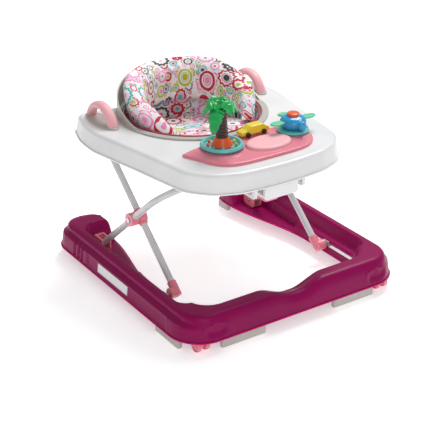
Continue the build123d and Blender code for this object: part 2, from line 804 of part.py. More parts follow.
with BuildPart() as car_wheels:
    for x in (car_x - 22, car_x + 22):
        for side in LEFT_RIGHT:
            with Locations(Location((x, car_y + side * 14, car_floor_z + 6), (90, 0, 0))):
                Cylinder(6, 3.6)
save(car_wheels.part, "car_wheels")

with BuildPart() as plane_dish:
    with BuildSketch(Plane.XZ):
        with BuildLine():
            Polyline(
                (0, panel_z), (35, panel_z), (38, panel_z + 4),
                (35, panel_z + 8), (0, panel_z + 8), close=True,
            )
        make_face()
    revolve(axis=Axis.Z)
    plane_dish.part = plane_dish.part.moved(Location((plane_x, plane_y, 0)))
save(plane_dish.part, "plane_dish")

plane_low_z = panel_z + 8.4
wing_z = panel_z + 27
with BuildPart() as plane_body:
    with BuildSketch(Plane.XZ):
        with BuildLine():
            Line((0, plane_low_z), (16, plane_low_z))
            ThreePointArc((16, plane_low_z), (31, plane_low_z + 14), (20, plane_low_z + 28))
            Polyline(
                (20, plane_low_z + 28), (12, plane_low_z + 31),
                (0, plane_low_z + 31), (0, plane_low_z),
            )
        make_face()
    revolve(axis=Axis.Z)
    plane_body.part = plane_body.part.moved(Location((plane_x, plane_y, 0)))
    with Locations(Location((plane_x, plane_y - 26, plane_low_z + 13.5), (90, 0, 0))):
        Cylinder(11, 30)
    fillet(plane_body.faces().sort_by(Axis.Y)[0].edges(), radius=6)
save(plane_body.part, "plane_body")

with BuildPart() as plane_wings:
    with BuildSketch(Plane.XY.offset(wing_z - 2)):
        with Locations((plane_x - 44, plane_y), (plane_x + 44, plane_y)):
            Ellipse(20, 11)
        with Locations((plane_x, plane_y + 40)):
            Ellipse(14, 9)
        with Locations((plane_x, plane_y)):
            Rectangle(76, 10)
        with Locations((plane_x, plane_y + 18)):
            Rectangle(9, 36)
    extrude(amount=4)
    add(plane_body.part, mode=Mode.SUBTRACT)
save(plane_wings.part, "plane_wings")

with BuildPart() as plane_cap:
    with Locations((plane_x, plane_y, plane_low_z + 33)):
        Cylinder(15, 7)
    fillet(plane_cap.edges().group_by(Axis.Z)[-1], radius=3)
    add(plane_body.part, mode=Mode.SUBTRACT)
save(plane_cap.part, "plane_cap")

# =============================== seat ===============================

with BuildPart() as seat_sling:
    with BuildSketch(Plane.XZ):
        with BuildLine():
            Polyline(
                (0, 232), (70, 234), (112, 248), (142, 284), (160, 332), (164, 364),
                (158, 364), (154, 333), (136, 288), (108, 254), (69, 240), (0, 238), close=True,
            )
        make_face()
    revolve(axis=Axis.Z)
    for side in LEFT_RIGHT:
        with BuildSketch(Plane(origin=(side * 62, 0, 300), x_dir=(1, 0, 0), z_dir=(0, -0.82, -0.57))):
            Circle(44)
        extrude(amount=200, mode=Mode.SUBTRACT)
    seat_sling.part = seat_sling.part.moved(Location((0, ring_y, 0)))
save(seat_sling.part, "seat_sling")

with BuildPart() as seat_cushion:
    with BuildSketch(Plane.XZ):
        with BuildLine():
            Polyline(
                (0, 241), (66, 243), (104, 257), (130, 289), (148, 332),
                (148, 356), (120, 362), (0, 362), close=True,
            )
        make_face()
    revolve(axis=Axis.Z)
    with BuildSketch(Plane.YZ):
        with BuildLine():
            Polyline((-160, 356), (-60, 338), (40, 312), (160, 312), (160, 400), (-160, 400), close=True)
        make_face()
    extrude(amount=200, both=True, mode=Mode.SUBTRACT)
    for side in LEFT_RIGHT:
        with Locations((side * 64, -92, 255)):
            Box(104, 140, 72, mode=Mode.SUBTRACT)
    with Locations((0, -118, 255)):
        Box(240, 70, 72, mode=Mode.SUBTRACT)
    seat_cushion.part = seat_cushion.part.moved(Location((0, ring_y, 0)))
save(seat_cushion.part, "seat_cushion")

with BuildPart() as seat_binding:
    with BuildSketch(Plane.XZ):
        with Locations((161.5, 367.2)):
            RectangleRounded(7, 5.6, 2.5)
    revolve(axis=Axis.Z)
    seat_binding.part = seat_binding.part.moved(Location((0, ring_y, 0)))
save(seat_binding.part, "seat_binding")

with BuildPart() as seat_back_pad:
    with BuildSketch(Plane.XZ):
        with BuildLine():
            Polyline(
                (116, 350), (150, 344), (153, 368), (155, 372), (160, 390),
                (163, 436), (155, 458), (140, 460), (118, 438), close=True,
            )
        make_face()
    revolve(axis=Axis.Z)
    with BuildSketch(Plane.YZ):
        with BuildLine():
            Polyline(
                (-220, 330), (-110, 330), (-40, 404), (90, 458),
                (220, 462), (220, 480), (-220, 480), close=True,
            )
        make_face()
    extrude(amount=220, both=True, mode=Mode.SUBTRACT)
    seat_back_pad.part = seat_back_pad.part.moved(Location((0, ring_y, 0)))
save(seat_back_pad.part, "seat_back_pad")
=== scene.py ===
"""Looks of the baby walker: moulded plastics, printed padded seat, toys, studio and camera."""
import json
import math

import bmesh
import bpy
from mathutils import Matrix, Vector


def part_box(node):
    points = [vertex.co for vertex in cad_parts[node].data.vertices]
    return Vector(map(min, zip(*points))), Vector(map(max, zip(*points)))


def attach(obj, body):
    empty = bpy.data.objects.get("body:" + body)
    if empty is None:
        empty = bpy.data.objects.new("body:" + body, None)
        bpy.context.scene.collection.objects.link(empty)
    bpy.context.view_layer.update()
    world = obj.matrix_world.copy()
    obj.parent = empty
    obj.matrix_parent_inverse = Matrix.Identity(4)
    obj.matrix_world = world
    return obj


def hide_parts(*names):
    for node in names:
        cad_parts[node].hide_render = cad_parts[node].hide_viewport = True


bl_info = {
    "name": "Baby walker",
    "version": (1, 0, 0),
    "blender": (4, 5, 0),
    "location": "View3D > Sidebar > Walker",
    "description": "Builds the looks of a baby walker around its packed frame",
    "category": "Object",
}

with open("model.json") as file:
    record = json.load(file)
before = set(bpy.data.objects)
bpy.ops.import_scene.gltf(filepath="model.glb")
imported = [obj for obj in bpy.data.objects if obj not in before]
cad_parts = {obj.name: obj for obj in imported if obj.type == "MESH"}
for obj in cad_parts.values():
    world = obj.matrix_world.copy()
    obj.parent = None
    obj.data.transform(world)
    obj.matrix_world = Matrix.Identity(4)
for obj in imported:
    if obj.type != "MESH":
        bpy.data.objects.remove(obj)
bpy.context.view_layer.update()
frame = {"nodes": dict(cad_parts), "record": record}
MM = 0.001

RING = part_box("seat_ring")
RING_CENTRE = Vector((0, (RING[0].y + RING[1].y) / 2, 0))
RING_RADIUS = 0.15
CREST_RADIUS = 0.141


# ------------------------------------------------------------------ colours

def srgb(red, green, blue, alpha=1.0):
    """A colour given as it is seen, turned into the linear values that a shader takes."""
    seen = (red, green, blue)
    linear = [c / 12.92 if c <= 0.04045 else ((c + 0.055) / 1.055) ** 2.4 for c in seen]
    return (*linear, alpha)


PALETTE = {
    "plum": srgb(0.56, 0.0, 0.32),
    # painted highlight: brighter colour for the base's thin lip, standing in for light through its edge
    "lip": srgb(0.80, 0.06, 0.44),
    "white": srgb(0.93, 0.93, 0.935),
    "warm_grey": srgb(0.74, 0.73, 0.70),
    "rose": srgb(0.95, 0.53, 0.60),
    "blush": srgb(0.98, 0.72, 0.75),
    "tube": srgb(0.84, 0.84, 0.85),
    "pad": srgb(0.74, 0.72, 0.70),
    "aqua": srgb(0.42, 0.82, 0.80),
    "orange": srgb(0.95, 0.36, 0.12),
    "bark": srgb(0.28, 0.22, 0.21),
    "leaf": srgb(0.05, 0.70, 0.34),
    "yellow": srgb(0.97, 0.87, 0.18),
    "sky": srgb(0.13, 0.62, 0.85),
    "mint": srgb(0.42, 0.85, 0.65),
    "crimson": srgb(0.80, 0.02, 0.24),
    "wine": srgb(0.62, 0.02, 0.14),
    "lime": srgb(0.72, 0.77, 0.06),
    "slate": srgb(0.24, 0.24, 0.26),
    "candy": srgb(0.97, 0.56, 0.78),
    "sea": srgb(0.34, 0.72, 0.75),
    "cotton": srgb(0.97, 0.95, 0.95),
    "black": srgb(0.10, 0.10, 0.10),
}


# ------------------------------------------------------------------ settings

class WalkerFinish(bpy.types.PropertyGroup):
    """Colours and surface values that a user would change."""
    base_colour: bpy.props.FloatVectorProperty(
        name="Base", description="Colour of the moulded base", subtype="COLOR",
        size=4, default=PALETTE["plum"], min=0, max=1)
    tray_colour: bpy.props.FloatVectorProperty(
        name="Tray", description="Colour of the tray and its housing", subtype="COLOR",
        size=4, default=PALETTE["white"], min=0, max=1)
    accent_colour: bpy.props.FloatVectorProperty(
        name="Accent", description="Colour of the clamps, collars and toy panel", subtype="COLOR",
        size=4, default=PALETTE["rose"], min=0, max=1)
    print_spacing: bpy.props.FloatProperty(
        name="Print spacing", description="Distance between the largest printed flowers",
        unit="LENGTH", default=0.064, min=0.02, max=0.2)


class WalkerSeat(bpy.types.PropertyGroup):
    """Padding of the seat."""
    voxel: bpy.props.FloatProperty(
        name="Voxel", description="Grain of the padded pieces before they are simulated",
        unit="LENGTH", default=0.005, min=0.003, max=0.01)
    pressure: bpy.props.FloatProperty(
        name="Pressure", description="Pressure of the filling", default=4.0, min=0, max=20)
    swell: bpy.props.FloatProperty(
        name="Swell", description="Furthest that padding may move outwards",
        unit="LENGTH", default=0.009, min=0, max=0.03)


class WalkerView(bpy.types.PropertyGroup):
    """Camera: its turn, height, distance and lens."""
    azimuth: bpy.props.FloatProperty(
        name="Azimuth", description="Turn of the camera about the object",
        subtype="ANGLE", default=math.radians(-33.76))
    elevation: bpy.props.FloatProperty(
        name="Elevation", description="Height angle of the camera",
        subtype="ANGLE", default=math.radians(26.07))
    distance: bpy.props.FloatProperty(
        name="Distance", description="Distance from the camera to its target",
        unit="LENGTH", default=2.983)
    lens: bpy.props.FloatProperty(
        name="Lens", description="Focal length for a 36 mm sensor, in millimetres", default=102.8)


# ------------------------------------------------------------------ materials

class Shader:
    """A node tree with one principled shader, and short ways to add to it."""

    def __init__(self, name, colour, roughness, **constants):
        self.material = bpy.data.materials.new(name)
        self.material.use_nodes = True
        self.tree = self.material.node_tree
        self.shader = self.tree.nodes["Principled BSDF"]
        self.shader.inputs["Base Color"].default_value = colour
        self.shader.inputs["Roughness"].default_value = roughness
        for socket, value in constants.items():
            self.shader.inputs[socket.replace("_", " ")].default_value = value
        self.material.diffuse_color = colour

    def node(self, kind, **settings):
        made = self.tree.nodes.new(kind)
        for key, value in settings.items():
            setattr(made, key, value)
        return made

    def link(self, output, socket):
        self.tree.links.new(output, socket)

    def value(self, operation, *terms):
        """A math node on numbers or sockets, and its output."""
        made = self.node("ShaderNodeMath", operation=operation)
        for index, term in enumerate(terms):
            self.feed(term, made.inputs[index])
        return made.outputs[0]

    def feed(self, term, socket):
        if isinstance(term, bpy.types.NodeSocket):
            self.link(term, socket)
        else:
            socket.default_value = term

    def vector(self, operation, *terms):
        made = self.node("ShaderNodeVectorMath", operation=operation)
        for index, term in enumerate(terms):
            self.feed(term, made.inputs[index])
        return made.outputs["Value" if operation in ("LENGTH", "DISTANCE") else "Vector"]

    def object_coords(self):
        return self.node("ShaderNodeTexCoord").outputs["Object"]

    def noise(self, coords, scale, detail=2.0):
        made = self.node("ShaderNodeTexNoise")
        made.inputs["Scale"].default_value = scale
        made.inputs["Detail"].default_value = detail
        self.link(coords, made.inputs["Vector"])
        return made.outputs["Fac"]

    def spread(self, value, low, high):
        """Stretches a noise's middle range to low..high."""
        made = self.node("ShaderNodeMapRange")
        made.inputs["From Min"].default_value = 0.3
        made.inputs["From Max"].default_value = 0.7
        made.inputs["To Min"].default_value = low
        made.inputs["To Max"].default_value = high
        self.link(value, made.inputs["Value"])
        return made.outputs["Result"]

    def mix(self, factor, first, second):
        made = self.node("ShaderNodeMix", data_type="RGBA")
        self.feed(factor, made.inputs["Factor"])
        self.feed(first, made.inputs[6])
        self.feed(second, made.inputs[7])
        return made.outputs[2]

    def pick(self, value, colours):
        """One of several flat colours, chosen by a random value from 0 to 1."""
        made = self.node("ShaderNodeValToRGB")
        ramp = made.color_ramp
        ramp.interpolation = "CONSTANT"
        ramp.elements[0].color = colours[0]
        ramp.elements[1].position = 1 / len(colours)
        ramp.elements[1].color = colours[1]
        for index, colour in enumerate(colours[2:], start=2):
            ramp.elements.new(index / len(colours)).color = colour
        self.link(value, made.inputs["Fac"])
        return made.outputs["Color"]

    def bump(self, height, strength, distance):
        made = self.node("ShaderNodeBump")
        made.inputs["Strength"].default_value = strength
        made.inputs["Distance"].default_value = distance
        self.link(height, made.inputs["Height"])
        self.link(made.outputs["Normal"], self.shader.inputs["Normal"])


def shade(colour, factor):
    return (*(min(1.0, c * factor) for c in colour[:3]), 1.0)


def moulded(name, colour, roughness=0.28, coat=0.25, grain=0.03, **constants):
    """Injection-moulded plastic: faint flow variation, orange peel, and hazy patches in the gloss."""
    skin = Shader(name, colour, roughness, Coat_Weight=coat, Coat_Roughness=0.12, **constants)
    coords = skin.object_coords()
    flow = skin.spread(skin.noise(coords, 7, 3), 0, 1)
    skin.link(skin.mix(flow, shade(colour, 0.94), shade(colour, 1.04)), skin.shader.inputs["Base Color"])
    haze = skin.spread(skin.noise(coords, 14, 2), roughness * 0.93, roughness * 1.08)
    skin.link(haze, skin.shader.inputs["Roughness"])
    skin.bump(skin.noise(coords, 90, 2), grain, 0.0005)
    return skin.material


def moulded_base(name, colour):
    """Glossy moulded base with a painted highlight: its thin lip below 31 mm is a brighter colour, standing
    in for light coming through its edge.
    """
    skin = Shader(name, colour, 0.32, Specular_IOR_Level=0.16)
    coords = skin.object_coords()
    flow = skin.spread(skin.noise(coords, 6, 3), 0, 1)
    body = skin.mix(flow, shade(colour, 0.93), shade(colour, 1.05))
    axes = skin.node("ShaderNodeSeparateXYZ")
    skin.link(coords, axes.inputs[0])
    # painted highlight: everything below 31 mm takes the brighter lip colour
    lip = skin.value("LESS_THAN", axes.outputs["Z"], 31.0 * MM)
    skin.link(skin.mix(lip, body, PALETTE["lip"]), skin.shader.inputs["Base Color"])
    skin.link(skin.spread(skin.noise(coords, 14, 2), 0.29, 0.35), skin.shader.inputs["Roughness"])
    skin.bump(skin.noise(coords, 55, 2), 0.02, 0.0005)
    return skin.material


def satin_grip(name, colour):
    """Soft-touch plastic with a fine sandblasted texture."""
    skin = Shader(name, colour, 0.5, Sheen_Weight=0.15)
    coords = skin.object_coords()
    flow = skin.spread(skin.noise(coords, 12, 3), 0, 1)
    skin.link(skin.mix(flow, shade(colour, 0.95), shade(colour, 1.03)), skin.shader.inputs["Base Color"])
    skin.link(skin.spread(skin.noise(coords, 60), 0.42, 0.58), skin.shader.inputs["Roughness"])
    skin.bump(skin.noise(coords, 1500, 3), 0.25, 0.0003)
    return skin.material


def powder_coat(name, colour):
    """Painted steel tube with the fine orange peel of powder coat."""
    skin = Shader(name, colour, 0.3, Coat_Weight=0.4, Coat_Roughness=0.1)
    coords = skin.object_coords()
    skin.link(skin.mix(skin.spread(skin.noise(coords, 20), 0, 1), shade(colour, 0.96), shade(colour, 1.03)),
              skin.shader.inputs["Base Color"])
    skin.link(skin.spread(skin.noise(coords, 80), 0.24, 0.38), skin.shader.inputs["Roughness"])
    skin.bump(skin.noise(coords, 900, 2), 0.12, 0.0003)
    return skin.material


def bright_steel(name):
    """Drawn steel, with fine lines along its length."""
    skin = Shader(name, srgb(0.80, 0.80, 0.82), 0.25, Metallic=1.0)
    coords = skin.object_coords()
    stretched = skin.vector("MULTIPLY", coords, (900, 30, 900))
    skin.link(skin.spread(skin.noise(stretched, 1.0, 4), 0.16, 0.4), skin.shader.inputs["Roughness"])
    skin.bump(skin.noise(stretched, 1.0, 2), 0.15, 0.0001)
    return skin.material


def rubber(name, colour):
    skin = Shader(name, colour, 0.6)
    coords = skin.object_coords()
    skin.link(skin.mix(skin.spread(skin.noise(coords, 30, 4), 0, 1), shade(colour, 0.9), shade(colour, 1.03)),
              skin.shader.inputs["Base Color"])
    skin.bump(skin.noise(coords, 1100, 3), 0.35, 0.0003)
    return skin.material


def paper_label(name):
    """A blank printed sticker: white, a thin pale border and faint wrinkles."""
    paper, edging = srgb(0.93, 0.92, 0.93), srgb(0.80, 0.78, 0.80)
    skin = Shader(name, paper, 0.35, Coat_Weight=0.3)
    coords = skin.object_coords()
    low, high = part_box("blank_label")
    middle, half = (low + high) / 2, (high - low) / 2
    axes = skin.node("ShaderNodeSeparateXYZ")
    skin.link(skin.vector("ABSOLUTE", skin.vector("SUBTRACT", coords, middle)), axes.inputs[0])
    edge_y = skin.value("GREATER_THAN", axes.outputs["Y"], half.y - 3 * MM)
    edge_z = skin.value("GREATER_THAN", axes.outputs["Z"], half.z - 3 * MM)
    border = skin.value("MAXIMUM", edge_y, edge_z)
    skin.link(skin.mix(border, paper, edging), skin.shader.inputs["Base Color"])
    skin.bump(skin.noise(coords, 90, 3), 0.2, 0.0005)
    return skin.material


def leaf_plastic(name, colour):
    """Green toy plastic with painted shade: noise patches of darker green, meant for the shade in the hollows
    between the leaf ribs.
    """
    skin = Shader(name, colour, 0.32, Coat_Weight=0.2)
    coords = skin.object_coords()
    hollow_shade = skin.spread(skin.noise(coords, 60, 3), 0, 1)
    # painted shade: the noise mixes in a darker green for the shaded hollows
    skin.link(skin.mix(hollow_shade, shade(colour, 0.78), shade(colour, 1.05)), skin.shader.inputs["Base Color"])
    skin.bump(skin.noise(coords, 500), 0.08, 0.0004)
    return skin.material


def mixed_beads(name):
    """Loose beads, each in one of the toy colours."""
    skin = Shader(name, PALETTE["yellow"], 0.25, Coat_Weight=0.3)
    coords = skin.vector("MULTIPLY", skin.object_coords(), (60, 60, 0))
    cells = skin.node("ShaderNodeTexWhiteNoise", noise_dimensions="3D")
    skin.link(skin.vector("FLOOR", coords), cells.inputs["Vector"])
    beads = [PALETTE[c] for c in ("orange", "yellow", "candy", "sea", "lime")]
    skin.link(skin.pick(cells.outputs["Value"], beads), skin.shader.inputs["Base Color"])
    skin.bump(skin.noise(skin.object_coords(), 700), 0.05, 0.0003)
    return skin.material


def weave_height(skin, coords, pitch):
    """Height of a plain weave: two crossed sets of threads."""
    axes = skin.node("ShaderNodeSeparateXYZ")
    skin.link(coords, axes.inputs[0])
    turn = 2 * math.pi / pitch
    warp = skin.value("SINE", skin.value("MULTIPLY", axes.outputs["X"], turn))
    weft = skin.value("SINE", skin.value("MULTIPLY", axes.outputs["Y"], turn))
    return skin.value("MULTIPLY", warp, weft)


def flower_layer(skin, coords, spacing, offset, petals, smallest, largest):
    """One layer of printed flowers or rings: returns where it prints, and its colour."""
    moved = skin.vector("ADD", skin.vector("MULTIPLY", coords, (1 / spacing,) * 3), offset)
    cells = skin.node("ShaderNodeTexVoronoi", voronoi_dimensions="2D")
    cells.inputs["Scale"].default_value = 1.0
    cells.inputs["Randomness"].default_value = 0.55
    skin.link(moved, cells.inputs["Vector"])
    chance = skin.node("ShaderNodeSeparateColor")
    skin.link(cells.outputs["Color"], chance.inputs[0])
    red, green, blue = (chance.outputs[i] for i in range(3))
    local = skin.vector("SUBTRACT", moved, cells.outputs["Position"])
    axes = skin.node("ShaderNodeSeparateXYZ")
    skin.link(local, axes.inputs[0])
    distance = skin.value("SQRT", skin.value(
        "ADD", skin.value("POWER", axes.outputs["X"], 2.0), skin.value("POWER", axes.outputs["Y"], 2.0)))
    turn = skin.value("ARCTAN2", axes.outputs["Y"], axes.outputs["X"])
    scallop = skin.value("MULTIPLY", skin.value("SINE", skin.value("MULTIPLY", turn, float(petals))),
                         skin.value("MULTIPLY", skin.value("GREATER_THAN", green, 0.4), 0.085))
    size = skin.value("MULTIPLY_ADD", red, largest - smallest, smallest)
    reach = skin.value("DIVIDE", distance, skin.value("MULTIPLY", size, skin.value("ADD", scallop, 1.0)))
    inks = [PALETTE[c] for c in ("candy", "crimson", "sea", "lime", "slate", "candy", "crimson", "sea")]
    outer = skin.pick(green, inks)
    shuffled = skin.value("FRACT", skin.value("MULTIPLY", blue, 7.3))
    inner = skin.pick(shuffled, [PALETTE[c] for c in ("sea", "lime", "crimson", "candy", "slate")])
    band = skin.value("FRACT", skin.value("MULTIPLY", red, 5.1))
    cotton = PALETTE["cotton"]
    dot_edge = skin.value("MULTIPLY_ADD", band, 0.18, 0.22)
    in_dot = skin.value("LESS_THAN", reach, dot_edge)
    in_ring = skin.value("GREATER_THAN", reach, skin.value("MULTIPLY_ADD", blue, 0.18, 0.58))
    thin_low = skin.value("GREATER_THAN", reach, skin.value("ADD", dot_edge, 0.10))
    thin_high = skin.value("LESS_THAN", reach, skin.value("ADD", dot_edge, 0.18))
    thin = skin.value("MULTIPLY", skin.value("MULTIPLY", thin_low, thin_high),
                      skin.value("GREATER_THAN", band, 0.5))
    colour = skin.mix(in_dot, cotton, inner)
    colour = skin.mix(thin, colour, outer)
    colour = skin.mix(in_ring, colour, outer)
    inside = skin.value("LESS_THAN", reach, 1.0)
    near = skin.value("LESS_THAN", reach, 1.1)
    return inside, near, colour


def printed_cotton(name, spacing):
    """White quilted cotton with flowers and rings printed in five inks, on the piece's own map."""
    skin = Shader(name, PALETTE["cotton"], 0.78, Sheen_Weight=0.06, Sheen_Roughness=0.4)
    coords = skin.node("ShaderNodeUVMap", uv_map="print").outputs["UV"]
    layers = [
        flower_layer(skin, coords, spacing * 0.36, (9.7, 2.1, 0), 7, 0.24, 0.38),
        flower_layer(skin, coords, spacing * 0.60, (4.3, 7.9, 0), 9, 0.28, 0.43),
        flower_layer(skin, coords, spacing, (0.35, 0.2, 0), 11, 0.28, 0.46),
    ]
    colour = PALETTE["cotton"]
    for inside, near, ink in layers:
        colour = skin.mix(near, colour, PALETTE["cotton"])
        colour = skin.mix(inside, colour, ink)
    fade = skin.spread(skin.noise(coords, 30, 3), 0.0, 0.05)
    skin.link(skin.mix(fade, colour, PALETTE["white"]), skin.shader.inputs["Base Color"])
    skin.bump(weave_height(skin, coords, 0.0011), 0.2, 0.0002)
    return skin.material


def woven_binding(name, colour):
    """Narrow woven tape, with its ribs across."""
    skin = Shader(name, colour, 0.7, Sheen_Weight=0.3)
    coords = skin.object_coords()
    threads = skin.spread(skin.noise(coords, 120, 3), 0, 1)
    skin.link(skin.mix(threads, shade(colour, 0.8), shade(colour, 1.15)), skin.shader.inputs["Base Color"])
    skin.bump(skin.noise(skin.vector("MULTIPLY", coords, (1, 1, 0.2)), 1400, 2), 0.5, 0.0004)
    return skin.material


def make_materials(finish):
    return {
        "base_plastic": moulded_base("base_plastic", finish.base_colour),
        "white_plastic": moulded("white_plastic", finish.tray_colour, 0.32, 0.12, 0.006),
        "grey_plastic": moulded("grey_plastic", PALETTE["warm_grey"], 0.36, 0.15, 0.04),
        "pink_plastic": moulded("pink_plastic", finish.accent_colour, 0.26, 0.3, 0.03),
        "pink_soft": satin_grip("pink_soft", PALETTE["blush"]),
        "tube_paint": powder_coat("tube_paint", PALETTE["tube"]),
        "steel": bright_steel("steel"),
        "pad_grey": rubber("pad_grey", PALETTE["pad"]),
        "label": paper_label("label"),
        "aqua_plastic": moulded("aqua_plastic", PALETTE["aqua"], 0.25, 0.3),
        "orange_plastic": moulded("orange_plastic", PALETTE["orange"], 0.28, 0.25),
        "brown_plastic": moulded("brown_plastic", PALETTE["bark"], 0.42, 0.1, 0.12),
        "green_plastic": leaf_plastic("green_plastic", PALETTE["leaf"]),
        "yellow_plastic": moulded("yellow_plastic", PALETTE["yellow"], 0.26, 0.3),
        "blue_plastic": moulded("blue_plastic", PALETTE["sky"], 0.24, 0.35),
        "lime_plastic": moulded("lime_plastic", PALETTE["mint"], 0.28, 0.25),
        "bead_plastic": mixed_beads("bead_plastic"),
        "dark_plastic": moulded("dark_plastic", PALETTE["black"], 0.4, 0.1, 0.08),
        "board": moulded("board", srgb(0.05, 0.35, 0.18), 0.4, 0.2, 0.1),
        "fabric_print": printed_cotton("fabric_print", finish.print_spacing),
        "binding": woven_binding("binding", PALETTE["wine"]),
    }


MATERIALS = {}


# ------------------------------------------------------------------ modelling helpers

def deselect():
    if bpy.context.object and bpy.context.object.mode != "OBJECT":
        bpy.ops.object.mode_set(mode="OBJECT")
    bpy.ops.object.select_all(action="DESELECT")


def activate(piece):
    deselect()
    piece.select_set(True)
    bpy.context.view_layer.objects.active = piece


def settle(piece):
    """Puts the object at the origin, unturned and unscaled, with its place in its mesh."""
    activate(piece)
    bpy.ops.object.transform_apply(location=True, rotation=True, scale=True)
    return piece


def paint(piece, material):
    piece.data.materials.clear()
    piece.data.materials.append(MATERIALS[material])


def own_copy(node, name):
    """A merged copy of a CAD node's mesh, to be shaped further."""
    source = frame["nodes"][node]
    piece = bpy.data.objects.new(name, source.data.copy())
    bpy.context.scene.collection.objects.link(piece)
    activate(piece)
    bpy.ops.object.mode_set(mode="EDIT")
    bpy.ops.mesh.select_all(action="SELECT")
    bpy.ops.mesh.customdata_custom_splitnormals_clear()
    bpy.ops.mesh.remove_doubles(threshold=0.00002)
    bpy.ops.mesh.normals_make_consistent(inside=False)
    bpy.ops.object.mode_set(mode="OBJECT")
    return piece


def apply_modifier(piece, kind, **settings):
    activate(piece)
    modifier = piece.modifiers.new(kind.title(), kind)
    for key, value in settings.items():
        setattr(modifier, key, value)
    bpy.ops.object.modifier_apply(modifier=modifier.name)


def soften(piece, voxel, rounds, factor=0.5):
    """Rounds every edge the way a moulded toy is rounded."""
    apply_modifier(piece, "REMESH", mode="VOXEL", voxel_size=voxel, use_smooth_shade=True)
    if rounds:
        apply_modifier(piece, "SMOOTH", factor=factor, iterations=rounds)
    return piece


def swell(piece, pressure, furthest, frames=20):
    """Fills a padded piece by a cloth simulation under pressure, and caps how far a point moves."""
    scene = bpy.context.scene
    before = [v.co.copy() for v in piece.data.vertices]
    activate(piece)
    modifier = piece.modifiers.new("Filling", "CLOTH")
    cloth = modifier.settings
    cloth.use_pressure = True
    cloth.uniform_pressure_force = pressure
    cloth.effector_weights.gravity = 0
    cloth.quality = 5
    cloth.mass = 0.3
    cloth.tension_stiffness = 15
    cloth.compression_stiffness = 15
    cloth.bending_stiffness = 0.8
    modifier.point_cache.frame_start = 1
    modifier.point_cache.frame_end = frames
    for number in range(1, frames + 1):
        scene.frame_set(number)
    bpy.ops.object.modifier_apply(modifier=modifier.name)
    scene.frame_set(1)
    for vertex, start in zip(piece.data.vertices, before):
        move = vertex.co - start
        if move.length > furthest:
            vertex.co = start + move.normalized() * furthest
    return piece


def print_map(piece, across, along):
    """Gives a piece its own map in metres, from two functions of a point."""
    layer = piece.data.uv_layers.new(name="print")
    for loop in piece.data.loops:
        point = piece.data.vertices[loop.vertex_index].co
        layer.data[loop.index].uv = (across(point), along(point))


def round_the_ring(point):
    """Distance round the seat ring at its usual radius."""
    local = point - RING_CENTRE
    return math.atan2(local.x, local.y) * RING_RADIUS


def radius_in_ring(point):
    return math.hypot(point.x - RING_CENTRE.x, point.y - RING_CENTRE.y)


def over_the_crest(point):
    """Distance up one side of the padded back and down the other."""
    return point.z - abs(radius_in_ring(point) - CREST_RADIUS)


def up_the_bowl(point):
    return point.z + radius_in_ring(point)


def finish_piece(piece, body, slot, *nodes, smooth=35):
    paint(piece, slot)
    settle(piece)
    activate(piece)
    bpy.ops.object.shade_smooth_by_angle(angle=math.radians(smooth))
    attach(piece, body)
    if nodes:
        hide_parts(*nodes)
    return piece


def wrapped_grid(name, columns, rows, place):
    """A grid wrapped into a shape: place gives the point for (u, v), each from 0 to 1."""
    deselect()
    bpy.ops.mesh.primitive_grid_add(x_subdivisions=columns, y_subdivisions=rows, size=2)
    piece = bpy.context.object
    piece.name = name
    for vertex in piece.data.vertices:
        vertex.co = place((vertex.co.x + 1) / 2, (vertex.co.y + 1) / 2)
    return piece


# ------------------------------------------------------------------ operators

class WALKER_OT_carried_parts(bpy.types.Operator):
    """Gives every carried-over CAD part its finish"""
    bl_idname = "walker.carried_parts"
    bl_label = "Carried parts"

    def execute(self, context):
        MATERIALS.update(make_materials(context.scene.walker_finish))
        for entry in frame["record"]["subparts"]:
            node = frame["nodes"][entry["node"]]
            node.data.materials.clear()
            node.data.materials.append(MATERIALS[entry["material_slot"]])
        return {"FINISHED"}


def ease(value):
    """Smooth step from 0 to 1."""
    held = min(1.0, max(0.0, value))
    return held * held * (3 - 2 * held)


